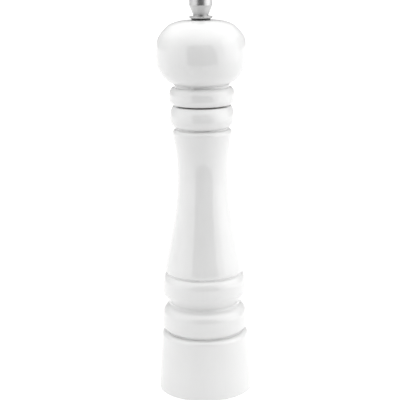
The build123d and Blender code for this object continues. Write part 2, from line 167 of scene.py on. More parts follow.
def new_object(name, mesh):
    """A scene object with this mesh, its normals outwards."""
    shape = bmesh.new()
    shape.from_mesh(mesh)
    bmesh.ops.remove_doubles(shape, verts=shape.verts, dist=1e-7)
    bmesh.ops.recalc_face_normals(shape, faces=shape.faces)
    shape.to_mesh(mesh)
    shape.free()
    made = bpy.data.objects.new(name, mesh)
    bpy.context.scene.collection.objects.link(made)
    return made


def lathe(name, outline, segments=144, angles=None, reshape=None):
    """A turned solid from a closed half outline. reshape(radius, angle, height) may give each point
    another radius, as for teeth, flats or a thread."""
    angles = angles or [TURN * k / segments for k in range(segments)]
    count = len(angles)
    points = outline.points
    verts, rings = [], []
    for radius, height in points:
        if radius < 1e-6:
            rings.append([len(verts)] * count)
            verts.append((0, 0, height * MM))
            continue
        rings.append(list(range(len(verts), len(verts) + count)))
        for angle in angles:
            r = reshape(radius, angle, height) if reshape else radius
            verts.append((r * cos(angle) * MM, r * sin(angle) * MM, height * MM))
    faces, paint = [], []
    for k in range(len(points)):
        lower, upper = rings[k], rings[(k + 1) % len(points)]
        for i in range(count):
            j = (i + 1) % count
            corners = list(dict.fromkeys((lower[i], lower[j], upper[j], upper[i])))
            if len(corners) > 2:
                faces.append(corners)
                paint.append(outline.paint[(k + 1) % len(points)])
    mesh = bpy.data.meshes.new(name)
    mesh.from_pydata(verts, [], faces)
    mesh.polygons.foreach_set("material_index", paint)
    return new_object(name, mesh)


def plate(name, outer, holes, bottom, gauge, edge):
    """A flat plate with rounded edges, from its outer loop and the loops of its holes. A loop is a
    function that gives (x, y) points, moved outwards by so much."""
    flat = bpy.data.curves.new(name, "CURVE")
    flat.dimensions = "2D"
    flat.fill_mode = "BOTH"
    flat.extrude = (gauge / 2 - edge) * MM
    flat.bevel_depth = edge * MM
    flat.bevel_resolution = 2
    for loop in [outer(-edge)] + [hole(edge) for hole in holes]:
        line = flat.splines.new("POLY")
        line.points.add(len(loop) - 1)
        for point, (x, y) in zip(line.points, loop):
            point.co = (x * MM, y * MM, 0, 1)
        line.use_cyclic_u = True
    drawn = bpy.data.objects.new(name + "_outline", flat)
    mesh = bpy.data.meshes.new_from_object(drawn)
    bpy.data.objects.remove(drawn)
    mesh.transform(Matrix.Translation((0, 0, (bottom + gauge / 2) * MM)))
    mesh.name = name
    return new_object(name, mesh)


def ring_loop(radius, x=0.0, count=72):
    """A round loop for a plate."""
    turns = [TURN * k / count for k in range(count)]
    return lambda grow: [(x + (radius + grow) * cos(a), (radius + grow) * sin(a)) for a in turns]


def square_loop(side):
    """A square loop for a plate."""
    corners = ((1, 1), (-1, 1), (-1, -1), (1, -1))
    return lambda grow: [(u * (side / 2 + grow), v * (side / 2 + grow)) for u, v in corners]


def slot_loop(length, width, steps=24):
    """A loop with two straight sides and round ends."""

    def loop(grow):
        radius, middle = width / 2 + grow, (length - width) / 2
        right = [(middle + radius * cos(a), radius * sin(a)) for a in np.linspace(-pi / 2, pi / 2, steps)]
        return right + [(-x, -y) for x, y in right]

    return loop


# ---------------------------------------------------------------- materials
def feed(tree, socket, value):
    """Links an input to a socket, or gives it a value."""
    if isinstance(value, bpy.types.NodeSocket):
        tree.links.new(value, socket)
    else:
        socket.default_value = value


def add(tree, kind, settings=None, **inputs):
    """A shader node. Its inputs may be values or sockets, and are named by socket, with _ for a space,
    or by n and the socket's number."""
    made = tree.nodes.new("ShaderNode" + kind)
    for name, value in (settings or {}).items():
        setattr(made, name, value)
    for name, value in inputs.items():
        numbered = name[0] == "n" and name[1:].isdigit()
        feed(tree, made.inputs[int(name[1:]) if numbered else name.replace("_", " ")], value)
    return made


def maths(tree, operation, *values):
    """The result of a math node."""
    inputs = {f"n{k}": value for k, value in enumerate(values)}
    return add(tree, "Math", {"operation": operation}, **inputs).outputs[0]


def material(name, **constants):
    """A new material and its tree, Principled shader and object coordinates."""
    made = bpy.data.materials.new(name)
    made.use_nodes = True
    tree = made.node_tree
    shader = tree.nodes["Principled BSDF"]
    for socket, value in constants.items():
        shader.inputs[socket.replace("_", " ")].default_value = value
    place = add(tree, "TexCoord").outputs["Object"]
    return made, tree, shader, place


def stretched(tree, place, x, y, z):
    """Object coordinates scaled along each axis, in cycles per metre."""
    return add(tree, "Mapping", Vector=place, Scale=(x, y, z)).outputs[0]


def noise(tree, place, scale, detail=3.0, roughness=0.55):
    """A noise from 0 to 1, with its scale in cycles per metre."""
    return add(tree, "TexNoise", Vector=place, Scale=scale, Detail=detail, Roughness=roughness).outputs[0]


def spread(tree, value, start, end, low_in=0.35, high_in=0.65):
    """Maps one range, by default the middle of a noise, onto another."""
    return add(tree, "MapRange", Value=value, n1=low_in, n2=high_in, n3=start, n4=end).outputs[0]


def blend(tree, share, first, second):
    """A colour between two, each a colour or a socket."""
    mixed = add(tree, "Mix", {"data_type": "RGBA"}, n0=share)
    for socket, value in ((mixed.inputs[6], first), (mixed.inputs[7], second)):
        feed(tree, socket, value if isinstance(value, bpy.types.NodeSocket) else (*value, 1))
    return mixed.outputs[2]


def bump(tree, height, distance, strength=1.0, under=None):
    """A normal raised by a height, over another normal if one is given."""
    made = add(tree, "Bump", Height=height, Distance=distance, Strength=strength)
    if under:
        tree.links.new(under, made.inputs["Normal"])
    return made.outputs[0]


def lacquer():
    """Thick white gloss lacquer over turned wood: a faint orange peel, the wood's long grain telling
    through, and slow waves left by the lathe."""
    made, tree, shader, place = material("white_lacquer", IOR=1.68)
    dull, clean, grained = (0.715, 0.715, 0.712), (0.74, 0.74, 0.738), (0.70, 0.70, 0.697)
    wave_depth, peel_depth, grain_depth = 0.000006, 0.0000012, 0.000002
    cloud = noise(tree, place, 22.0)
    tint = blend(tree, spread(tree, cloud, 0.0, 1.0), dull, clean)
    grain = noise(tree, stretched(tree, place, 900, 900, 14), 1.0, detail=4.0)
    tint = blend(tree, spread(tree, grain, 0.0, 0.35, 0.5, 0.8), tint, grained)
    tree.links.new(tint, shader.inputs["Base Color"])
    smudge = noise(tree, place, 60.0, detail=5.0)
    tree.links.new(spread(tree, smudge, 0.03, 0.06), shader.inputs["Roughness"])
    waves = bump(tree, noise(tree, stretched(tree, place, 6, 6, 90), 1.0, detail=1.0), wave_depth)
    peel = bump(tree, noise(tree, place, 420.0, detail=2.0), peel_depth, under=waves)
    fine = bump(tree, grain, grain_depth, under=peel)
    tree.links.new(fine, shader.inputs["Normal"])
    return made


def beech():
    """Bare turned beech: wandering growth rings about a pith outside the piece, short dark flecks
    along the grain, and the cutter's fine circles in the bores."""
    made, tree, shader, place = material("bare_beech", IOR=1.45)
    early, late = (0.60, 0.405, 0.235), (0.50, 0.315, 0.17)
    warm, dark = (0.66, 0.46, 0.29), (0.27, 0.145, 0.07)
    pith_x, pith_y, wander_reach, rings_per_metre = 0.055, 0.021, 0.006, 420.0
    cut_depth, pore_depth = 0.00008, 0.00004
    wander = noise(tree, stretched(tree, place, 20, 20, 3), 1.0, detail=4.0)
    split = add(tree, "SeparateXYZ", Vector=place)
    off_x = maths(tree, "ADD", split.outputs[0], pith_x)
    off_y = maths(tree, "ADD", split.outputs[1], pith_y)
    flat = add(tree, "CombineXYZ", X=off_x, Y=off_y)
    distance = add(tree, "VectorMath", {"operation": "LENGTH"}, n0=flat.outputs[0]).outputs["Value"]
    bent = maths(tree, "MULTIPLY_ADD", wander, wander_reach, distance)
    tooth = maths(tree, "FRACT", maths(tree, "MULTIPLY", bent, rings_per_metre))
    soft = {"interpolation_type": "SMOOTHSTEP"}
    ripe = add(tree, "MapRange", soft, Value=tooth, n1=0.45, n2=0.95).outputs[0]
    wood = blend(tree, ripe, early, late)
    cloud = noise(tree, stretched(tree, place, 60, 60, 12), 1.0)
    wood = blend(tree, spread(tree, cloud, 0.0, 0.5), wood, warm)
    flecks = noise(tree, stretched(tree, place, 2600, 2600, 320), 1.0, detail=1.0)
    wood = blend(tree, spread(tree, flecks, 0.0, 0.75, 0.62, 0.72), wood, dark)
    tree.links.new(wood, shader.inputs["Base Color"])
    tree.links.new(spread(tree, cloud, 0.62, 0.78), shader.inputs["Roughness"])
    cuts = bump(tree, noise(tree, stretched(tree, place, 40, 40, 2200), 1.0, detail=2.0), cut_depth, 0.7)
    pores = bump(tree, flecks, pore_depth, 0.6, under=cuts)
    tree.links.new(pores, shader.inputs["Normal"])
    return made


def metal(name, dark, light, rough, lines, depth, patches=40.0):
    """Bare or plated metal: a colour that drifts between two greys, a roughness that drifts too, and
    fine tool lines whose direction is given by how the noise is stretched."""
    made, tree, shader, place = material(name, Metallic=1.0)
    drift = noise(tree, place, patches, detail=5.0)
    marks = noise(tree, stretched(tree, place, *lines), 1.0, detail=4.0, roughness=0.7)
    tint = blend(tree, spread(tree, drift, 0.0, 1.0), dark, light)
    in_the_marks = tuple(0.8 * c for c in dark)
    tint = blend(tree, spread(tree, marks, 0.0, 0.3), tint, in_the_marks)
    tree.links.new(tint, shader.inputs["Base Color"])
    mixed = maths(tree, "MULTIPLY_ADD", marks, 0.5, drift)
    tree.links.new(spread(tree, mixed, rough[0], rough[1], 0.5, 1.0), shader.inputs["Roughness"])
    tree.links.new(bump(tree, marks, depth), shader.inputs["Normal"])
    return made


def nylon():
    """Black moulded nylon with a fine satin grain."""
    made, tree, shader, place = material("black_nylon", IOR=1.53)
    dark, worn = (0.012, 0.012, 0.013), (0.024, 0.024, 0.025)
    grain = noise(tree, place, 3000.0)
    tint = blend(tree, spread(tree, noise(tree, place, 200.0), 0.0, 1.0), dark, worn)
    tree.links.new(tint, shader.inputs["Base Color"])
    tree.links.new(spread(tree, grain, 0.38, 0.52), shader.inputs["Roughness"])
    tree.links.new(bump(tree, grain, 0.00001), shader.inputs["Normal"])
    return made


WHITE = lacquer()
WOOD = beech()
TURNED = metal(
    "turned_steel", (0.50, 0.50, 0.50), (0.60, 0.60, 0.60), rough=(0.3, 0.4),
    lines=(30, 30, 5200), depth=0.000006,
)
DRAWN = metal(
    "drawn_steel", (0.50, 0.50, 0.505), (0.60, 0.60, 0.60), rough=(0.24, 0.4),
    lines=(4200, 4200, 60), depth=0.000006,
)
BURR = metal(
    "burr_steel", (0.20, 0.20, 0.205), (0.30, 0.30, 0.305), rough=(0.34, 0.52),
    lines=(1500, 1500, 1500), depth=0.00001,
)
PLATED = metal(
    "zinc_plate", (0.58, 0.59, 0.60), (0.70, 0.71, 0.72), rough=(0.24, 0.42),
    lines=(700, 700, 700), depth=0.000004, patches=160.0,
)
WIRE = metal(
    "spring_wire", (0.38, 0.38, 0.385), (0.52, 0.52, 0.52), rough=(0.2, 0.36),
    lines=(900, 900, 900), depth=0.000004, patches=120.0,
)
SHEET = metal(
    "stamped_aluminium", (0.70, 0.70, 0.71), (0.80, 0.80, 0.805), rough=(0.28, 0.42),
    lines=(60, 3200, 60), depth=0.000006,
)
NYLON = nylon()


# ---------------------------------------------------------------- turned body and head
FOOT_CHAMFER, BORE_CHAMFER, SPIGOT_CHAMFER = 0.4, 0.3, 0.6
RECESS_R, RECESS_TOP = 26.0, 8.0
SEAT_R, SEAT_TOP = 19.2, 10.0
POCKET_R, POCKET_TOP = 16.8, 41.0
RESERVOIR_R = 13.5
SOCKET_R, SOCKET_FLOOR = 15.8, 201.5
BODY_TOP = high("body")
SPIGOT_R, SPIGOT_BOTTOM = 15.5, low("head")
BOSS_R, BOSS_BOTTOM = 17.5, 218.0
HEAD_RIM_R, HEAD_RIM = 21.5, 218.9
HEAD_TOP = high("head")
HEAD_BORE_R = 4.5


def make_body():
    """The body: lacquered outside and under the foot, with bare wood in the bores."""
    line = Outline((RECESS_R + FOOT_CHAMFER, 0.0))
    line.to((34.95, 0.0)).arc((35.25, 0.12), (35.35, 0.4))
    line.arc((34.4, 21.5), (32.95, 42.0)).arc((32.3, 43.9), (30.6, 45.1))
    line.to((28.9, 45.4), (28.9, 46.2))
    line.arc((31.3, 48.5), (32.35, 52.6)).to((32.35, 59.0)).arc((31.1, 62.9), (27.7, 66.0))
    line.arc((26.4, 67.2), (26.4, 68.6)).arc((28.8, 71.9), (31.0, 75.2)).arc((31.55, 76.5), (31.75, 77.6))
    line.to((31.75, 83.2)).arc((31.2, 87.0), (29.4, 90.1)).to((28.3, 90.8), (28.3, 91.6))
    line.arc((29.3, 92.5), (29.6, 93.9))
    line.curve(
        (27.4, 106.0),
        (24.0, 122.0),
        (20.75, 141.0),
        (19.0, 165.0),
        (20.0, 185.5),
        (22.0, 197.2),
        first=(-0.05, 1),
        last=(0.18, 1),
    )
    line.arc((21.85, 198.9), (20.7, 200.4)).to((19.2, 200.8), (19.2, 201.7))
    line.arc((22.7, 204.4), (24.1, 208.2)).to((24.1, 210.9)).arc((23.35, 214.1), (21.8, 217.4))
    line.to((21.5, BODY_TOP), (SOCKET_R + BORE_CHAMFER, BODY_TOP))
    line.coated(1).to((SOCKET_R, BODY_TOP - BORE_CHAMFER), (SOCKET_R, SOCKET_FLOOR))
    line.to((RESERVOIR_R, SOCKET_FLOOR))
    line.to((RESERVOIR_R, POCKET_TOP + POCKET_R - RESERVOIR_R), (POCKET_R, POCKET_TOP), (POCKET_R, SEAT_TOP))
    line.to((SEAT_R, SEAT_TOP), (SEAT_R, RECESS_TOP), (RECESS_R, RECESS_TOP), (RECESS_R, FOOT_CHAMFER))
    line.coated(0).to((RECESS_R + FOOT_CHAMFER, 0.0)).closed()
    lathe("mill_body", line)
    return finish_piece("mill_body", "casing", ["body"], [WHITE, WOOD])


def make_head():
    """The head: lacquered ball, neck, bead and boss side, with a bare spigot and bore."""
    line = Outline((HEAD_RIM_R, HEAD_RIM))
    line.to((21.9, HEAD_RIM + 0.2)).arc((23.6, 220.9), (24.3, 223.6)).to((24.3, 225.5))
    line.arc((23.65, 229.0), (21.9, 231.5)).to((20.2, 231.9), (20.2, 233.5)).arc((21.5, 234.4), (22.4, 234.7))
    line.curve(
        (27.0, 238.0),
        (31.2, 244.0),
        (33.5, 255.5),
        (31.0, 268.8),
        (27.0, 273.9),
        (22.2, 277.6),
        first=(1, 0.42),
        last=(-0.93, 0.37),
    )
    line.arc((17.3, 279.35), (9.0, HEAD_TOP)).to((HEAD_BORE_R + BORE_CHAMFER, HEAD_TOP))
    line.coated(1).to((HEAD_BORE_R, HEAD_TOP - BORE_CHAMFER), (HEAD_BORE_R, SPIGOT_BOTTOM))
    line.to((SPIGOT_R - SPIGOT_CHAMFER, SPIGOT_BOTTOM), (SPIGOT_R, SPIGOT_BOTTOM + SPIGOT_CHAMFER))
    line.to((SPIGOT_R, BOSS_BOTTOM))
    line.to((BOSS_R, BOSS_BOTTOM))
    line.coated(0).to((BOSS_R, HEAD_RIM), (HEAD_RIM_R, HEAD_RIM)).closed()
    lathe("mill_head", line)
    return finish_piece("mill_head", "cap", ["head"], [WHITE, WOOD])


make_body()
make_head()


# ---------------------------------------------------------------- knob, washer and spindle
THREAD_R, THREAD_PITCH, THREAD_DEPTH = 2.5, 0.8, 0.42
KNOB_BORE_TOP = 296.0
KNOB_BOTTOM, MILL_TOP = low("knob"), high("knob")
SQUARE = 2 * reach("shaft")
SHAFT_BOTTOM, SHAFT_TOP = low("shaft"), high("shaft")
SQUARE_BOTTOM, SQUARE_TOP = 12.5, 266.0
SQUARE_CHAMFER, TIP_CHAMFER = 0.5, 0.5
THREAD_STEP = THREAD_PITCH / 8
THREAD_LEAD = 0.8
CLIP_GROOVE_R, CLIP_GROOVE_WIDTH = 2.0, 0.8
WASHER_HOLE_R, WASHER_EDGE = 2.6, 0.15


def screw_thread(radius, angle, height, fade):
    """The radius on a right-hand thread's V profile, faded out by a share from 0 to 1."""
    phase = (height / THREAD_PITCH - angle / TURN) % 1
    valley = abs(2 * phase - 1)
    return radius - THREAD_DEPTH * min(1, 1.25 * valley) * fade


def make_knob():
    """The finger nut, with a fine groove under its girdle and a threaded blind bore."""
    line = Outline((THREAD_R + 0.75, KNOB_BOTTOM), step=0.25)
    line.to((7.2, KNOB_BOTTOM)).arc((8.15, 281.7), (8.5, 282.4)).arc((8.5, 282.8), (8.15, 283.0))
    line.to((5.5, 283.35), (5.5, 283.6), (8.2, 290.5)).arc((8.37, 290.8), (8.4, 291.2))
    line.to((8.4, 296.3)).arc((7.85, 298.2), (6.1, 299.3))
    line.curve((3.2, 299.8), (0.0, MILL_TOP), first=(-1, 0.35), last=(-1, 0))
    line.coated(1).add(0.0, KNOB_BORE_TOP + 1.0)
    line.add(THREAD_R - 0.4, KNOB_BORE_TOP)
    bore = THREAD_R + 0.05
    steps = round((KNOB_BORE_TOP - KNOB_BOTTOM) / THREAD_STEP)
    for k in range(1, steps):
        line.add(bore, KNOB_BORE_TOP + (KNOB_BOTTOM - KNOB_BORE_TOP) * k / steps)
    line.coated(0)

    def shape(radius, angle, height):
        if radius != bore:
            return radius
        fade = min(1, (height - KNOB_BOTTOM) / THREAD_LEAD, (KNOB_BORE_TOP - height) / THREAD_LEAD)
        return screw_thread(radius, angle, height, fade)

    lathe("knob_nut", line, segments=96, reshape=shape)
    return finish_piece("knob_nut", "knob_body", ["knob"], [TURNED, DRAWN])


def make_knob_washer():
    """A thin nylon washer with rounded edges, round the spindle's thread."""
    bottom, top, radius = low("knob_washer"), high("knob_washer"), reach("knob_washer")
    hole, edge = WASHER_HOLE_R, WASHER_EDGE
    line = Outline((hole + edge, bottom), step=0.1)
    corners = ((radius, bottom), (radius, top), (hole, top), (hole, bottom))
    for (x, z), turn in zip(corners, (-90, 0, 90, 180)):
        middle = (x - edge if x == radius else x + edge, z + edge if z == bottom else z - edge)
        first, last = radians(turn), radians(turn + 90)
        half = (first + last) / 2
        line.to((middle[0] + edge * cos(first), middle[1] + edge * sin(first)))
        line.arc(
            (middle[0] + edge * cos(half), middle[1] + edge * sin(half)),
            (middle[0] + edge * cos(last), middle[1] + edge * sin(last)),
        )
    lathe("nylon_washer", line, segments=96)
    return finish_piece("nylon_washer", "knob_seat", ["knob_washer"], [NYLON])


def square_radius(side, angle):
    """Distance from the axis to the side of a square at an angle."""
    return side / 2 / cos((angle + pi / 4) % (pi / 2) - pi / 4)


def square_angles(side, chamfer, steps):
    """Angles round a square bar that meet both ends of each of its corner chamfers."""
    edge = atan2(side / 2 - chamfer, side / 2)
    return [q * pi / 2 + a for q in range(4) for a in np.linspace(-edge, edge, steps)]


def make_spindle():
    """The square bar, with its turned journal and clip groove below and its cut thread above."""
    line = Outline((0.0, SHAFT_BOTTOM), step=1.4)
    line.to((THREAD_R - TIP_CHAMFER, SHAFT_BOTTOM), (THREAD_R, SHAFT_BOTTOM + TIP_CHAMFER))
    groove_top = low("rotor_washer")
    groove_bottom = groove_top - CLIP_GROOVE_WIDTH
    line.to((THREAD_R, groove_bottom), (CLIP_GROOVE_R, groove_bottom))
    line.to((CLIP_GROOVE_R, groove_top), (THREAD_R, groove_top))
    line.to((THREAD_R, SQUARE_BOTTOM), (SQUARE / 2, SQUARE_BOTTOM), (SQUARE / 2, SQUARE_TOP))
    neck_r, thread_bottom, thread_top = THREAD_R - 0.45, SQUARE_TOP + THREAD_LEAD, SHAFT_TOP - TIP_CHAMFER
    line.to((neck_r, SQUARE_TOP), (neck_r, thread_bottom))
    cut_r = THREAD_R + 0.0001
    steps = round((thread_top - thread_bottom) / THREAD_STEP)
    for k in range(steps + 1):
        line.add(cut_r, thread_bottom + (thread_top - thread_bottom) * k / steps)
    line.to((THREAD_R - TIP_CHAMFER, SHAFT_TOP), (0.0, SHAFT_TOP))

    def shape(radius, angle, height):
        if radius == SQUARE / 2:
            return square_radius(SQUARE, angle)
        return screw_thread(THREAD_R, angle, height, 1.0) if radius == cut_r else radius

    lathe("spindle_bar", line, angles=square_angles(SQUARE, SQUARE_CHAMFER, 15), reshape=shape)
    return finish_piece("spindle_bar", "spindle", ["shaft"], [DRAWN])


make_knob()
make_knob_washer()
make_spindle()

# ---------------------------------------------------------------- burrs
CONE = radians(18)
TEETH, TOOTH_WIDTH, TOOTH_DEPTH, TOOTH_SKEW = 30, 1.5, 0.8, radians(15)
GRIND_GAP = 0.55
THROAT_Z, MOUTH_R = 17.0, 13.2
STATOR_BOTTOM, STATOR_TOP = low("stator"), high("stator")
THROAT_R = MOUTH_R - (THROAT_Z - STATOR_BOTTOM) * tan(CONE)
FLUTES, FLUTE_WIDTH, FLUTE_DEPTH, FLUTE_SKEW = 8, 4.0, 0.9, radians(20)
LEADS, LEAD_WIDTH, LEAD_DEPTH, LEAD_SKEW = 6, 4.6, 2.2, -radians(35)
BRIDGE_GAUGE = 1.2


def groove_depth(angle, height, count, width, depth, skew, middle_z, middle_r, offset=0.0):
    """Depth, at a point of a cone, of a ring of V grooves that lean by a skew."""
    centre = offset + tan(skew) * (height - middle_z) / (cos(CONE) * middle_r)
    pitch = TURN / count
    off = (angle - centre + pitch / 2) % pitch - pitch / 2
    return depth * max(0.0, 1 - abs(off) * middle_r * cos(skew) / (width / 2))


def leg_inside():
    """The inside face of the bridge's legs, in millimetres from the axis."""
    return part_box("bridge")[1].x / MM - BRIDGE_GAUGE


def make_stator():
    """The outer burr: fine teeth in its mouth, wide flutes in its funnel and flats for the bridge."""
    flange_r, barrel_r, funnel_r, flange_top = reach("stator"), 15.0, 13.0, 9.95
    flat_x, flat_y, flat_z = leg_inside(), 4.7, 18.8
    inside = MOUTH_R + 0.0001
    line = Outline((MOUTH_R, STATOR_BOTTOM), step=0.25)
    line.to((flange_r - 0.2, STATOR_BOTTOM), (flange_r, STATOR_BOTTOM + 0.2), (flange_r, flange_top))
    line.to((barrel_r, flange_top), (barrel_r, flat_z), (barrel_r, flat_z + 0.001), (barrel_r, STATOR_TOP))
    line.to((funnel_r, STATOR_TOP), (THROAT_R, THROAT_Z + 0.02), (THROAT_R, THROAT_Z - 0.02))
    line.to((MOUTH_R, STATOR_BOTTOM)).closed()

    def shape(radius, angle, height):
        if radius == barrel_r:
            on_flat = height > flat_z and abs(radius * sin(angle)) < flat_y
            return min(radius, flat_x / max(abs(cos(angle)), 0.1)) if on_flat else radius
        if radius > inside:
            return radius
        if height < THROAT_Z:
            middle = (STATOR_BOTTOM + THROAT_Z) / 2
            middle_r = (MOUTH_R + THROAT_R) / 2
            return radius + groove_depth(
                angle, height, TEETH, TOOTH_WIDTH, TOOTH_DEPTH, TOOTH_SKEW, middle, middle_r
            )
        middle = (STATOR_TOP + THROAT_Z) / 2
        middle_r = (funnel_r + THROAT_R) / 2
        return radius + groove_depth(
            angle, height, FLUTES, FLUTE_WIDTH, FLUTE_DEPTH, FLUTE_SKEW, middle, middle_r, pi / FLUTES
        )

    lathe("burr_ring", line, segments=360, reshape=shape)
    return finish_piece("burr_ring", "casing", ["stator"], [BURR])


def make_rotor():
    """The inner burr: fine teeth round its rim, wide leading flutes above, a hollow below."""
    bottom, top, hollow_r = low("rotor"), high("rotor"), 8.5
    teeth_top, flutes_bottom = 14.4, 14.05
    hole = SQUARE / 2 + 0.025

    def cone_r(height):
        return MOUTH_R - GRIND_GAP - (height - STATOR_BOTTOM) * tan(CONE)

    line = Outline((hole, SQUARE_BOTTOM), step=0.2)
    line.to((hollow_r - 0.6, SQUARE_BOTTOM), (hollow_r, SQUARE_BOTTOM - 0.6), (hollow_r, bottom))
    line.to((cone_r(bottom), bottom), (cone_r(flutes_bottom), flutes_bottom))
    line.add(cone_r(flutes_bottom), flutes_bottom + 0.01)
    line.to((cone_r(teeth_top), teeth_top))
    line.add(cone_r(teeth_top), teeth_top + 0.01)
    line.to((cone_r(top), top), (hole, top), (hole, SQUARE_BOTTOM + 0.6))

    def shape(radius, angle, height):
        if radius == hole:
            return square_radius(2 * hole, angle)
        if abs(radius - cone_r(height)) > 0.05:
            return radius
        cut = 0.0
        if height <= teeth_top:
            middle = bottom + 2.4
            cut = groove_depth(
                angle, height, TEETH, TOOTH_WIDTH, TOOTH_DEPTH, -TOOTH_SKEW, middle, cone_r(middle)
            )
        if height > flutes_bottom:
            middle = top - 4.5
            lead = groove_depth(
                angle, height, LEADS, LEAD_WIDTH, LEAD_DEPTH, LEAD_SKEW, middle, cone_r(middle)
            )
            cut = max(cut, lead)
        return radius - cut

    lathe("burr_cone", line, segments=360, reshape=shape)
    return finish_piece("burr_cone", "spindle", ["rotor"], [BURR])


make_stator()
make_rotor()


# ---------------------------------------------------------------- plates, washers and screws
PLATE_SCREW_X, BAR_SCREW_X = 8.6, 21.6
SCREW_HOLE_R, SHANK_R, SCREW_POINT = 1.6, 1.45, 2.9
CROSS_LENGTH, CROSS_WIDTH, CROSS_DEPTH = 3.0, 0.7, 0.9
TWIN_TURN = radians(37)
SINK_R, SINK_FOOT_R, SINK_RIM, SINK_DEPTH = 2.8, 1.55, 0.25, 1.25
SQUARE_EASY, SQUARE_SNUG, ROUND_FIT = 0.2, 0.05, 0.05
CLIP_BORE_R = 2.05


def cut(piece, cutter):
    """Cuts one mesh object out of another, and removes the cutter."""
    tool = piece.modifiers.new("cut", "BOOLEAN")
    tool.operation = "DIFFERENCE"
    tool.solver = "EXACT"
    tool.object = cutter
    bpy.context.view_layer.update()
    seen = piece.evaluated_get(bpy.context.evaluated_depsgraph_get())
    done = bpy.data.meshes.new_from_object(seen)
    piece.modifiers.clear()
    piece.data = done
    bpy.data.objects.remove(cutter)


def prism(name, corners, bottom, top):
    """An upright prism on a loop of (x, y) points, as a cutter."""
    count = len(corners)
    verts = [(x * MM, y * MM, z * MM) for z in (bottom, top) for x, y in corners]
    sides = [(k, (k + 1) % count, (k + 1) % count + count, k + count) for k in range(count)]
    mesh = bpy.data.meshes.new(name)
    mesh.from_pydata(verts, [], [*sides, tuple(range(count))[::-1], tuple(range(count, 2 * count))])
    return new_object(name, mesh)


def cross(length, width):
    """The twelve corners of a cross."""
    a, b = length / 2, width / 2
    quarter = [(a, -b), (a, b), (b, b)]
    loop = []
    for k in range(4):
        c, s = round(cos(k * pi / 2)), round(sin(k * pi / 2))
        loop += [(c * u - s * v, s * u + c * v) for u, v in quarter]
    return loop


def make_screws(name, node, body, spacing, head):
    """Two cross-head screws that point up, one each side of the axis. head is the outline of the head
    from the axis: (radius, height above its face) points, or two such points together for an arc."""
    bottom, top = low(node), high(node)
    line = Outline((0.0, bottom), step=0.25)
    for point in head:
        if len(point) == 2:
            line.to((point[0], bottom + point[1]))
        else:
            line.arc((point[0], bottom + point[1]), (point[2], bottom + point[3]))
    head_r, neck = line.points[-1]
    if head_r > SHANK_R:
        line.to((SHANK_R, neck))
    line.to((SHANK_R, top - SCREW_POINT), (0.0, top))
    made = lathe(name, line, segments=48)
    recess = cross(CROSS_LENGTH, CROSS_WIDTH)
    cut(made, prism(name + "_recess", recess, bottom - 1, bottom + CROSS_DEPTH))
    twin = made.data.copy()
    made.data.transform(Matrix.Translation((spacing * MM, 0, 0)))
    twin.transform(Matrix.Rotation(TWIN_TURN, 4, "Z"))
    twin.transform(Matrix.Translation((-spacing * MM, 0, 0)))
    both = bmesh.new()
    both.from_mesh(made.data)
    both.from_mesh(twin)
    both.to_mesh(made.data)
    both.free()
    return finish_piece(name, body, [node], [PLATED])


def make_plates():
    """The drive plate, retaining bar, washers and clip: flat sheet pieces with rounded edges."""
    gauge = high("drive_plate") - low("drive_plate")
    bottom = low("drive_plate")
    holes = [ring_loop(SCREW_HOLE_R, x) for x in (PLATE_SCREW_X, -PLATE_SCREW_X)]
    holes = [square_loop(SQUARE + SQUARE_EASY)] + holes
    disc = plate("spigot_plate", ring_loop(reach("drive_plate")), holes, bottom, gauge, edge=0.2)
    for x in (PLATE_SCREW_X, -PLATE_SCREW_X):
        sink = Outline((0.0, bottom - 0.5)).to((SINK_R, bottom - 0.5), (SINK_R, bottom + SINK_RIM))
        sink.to((SINK_FOOT_R, bottom + SINK_DEPTH), (0.0, bottom + SINK_DEPTH))
        cutter = lathe("sink", sink, segments=48)
        cutter.data.transform(Matrix.Translation((x * MM, 0, 0)))
        cut(disc, cutter)
    finish_piece("spigot_plate", "cap", ["drive_plate"], [SHEET])

    gauge = high("retaining_bar") - low("retaining_bar")
    holes = [ring_loop(SCREW_HOLE_R, x) for x in (BAR_SCREW_X, -BAR_SCREW_X)]
    holes = [ring_loop(THREAD_R + ROUND_FIT)] + holes
    outer = slot_loop(2 * reach("retaining_bar"), 2 * reach("retaining_bar", 1))
    plate("base_bar", outer, holes, low("retaining_bar"), gauge, edge=0.3)
    finish_piece("base_bar", "casing", ["retaining_bar"], [PLATED])

    for name, node, hole in (
        ("spring_seat_washer", "spring_washer", square_loop(SQUARE + SQUARE_SNUG)),
        ("thrust_washer_plate", "thrust_washer", square_loop(SQUARE + SQUARE_EASY)),
        ("rotor_washer_plate", "rotor_washer", ring_loop(THREAD_R + ROUND_FIT)),
    ):
        body = "carrier" if node == "thrust_washer" else "spindle"
        plate(name, ring_loop(reach(node)), [hole], low(node), high(node) - low(node), edge=0.1)
        finish_piece(name, body, [node], [PLATED])

    gauge = high("rotor_clip") - low("rotor_clip")
    plate("snap_clip", clip_loop, [], low("rotor_clip"), gauge, edge=0.08)
    finish_piece("snap_clip", "spindle", ["rotor_clip"], [WIRE])


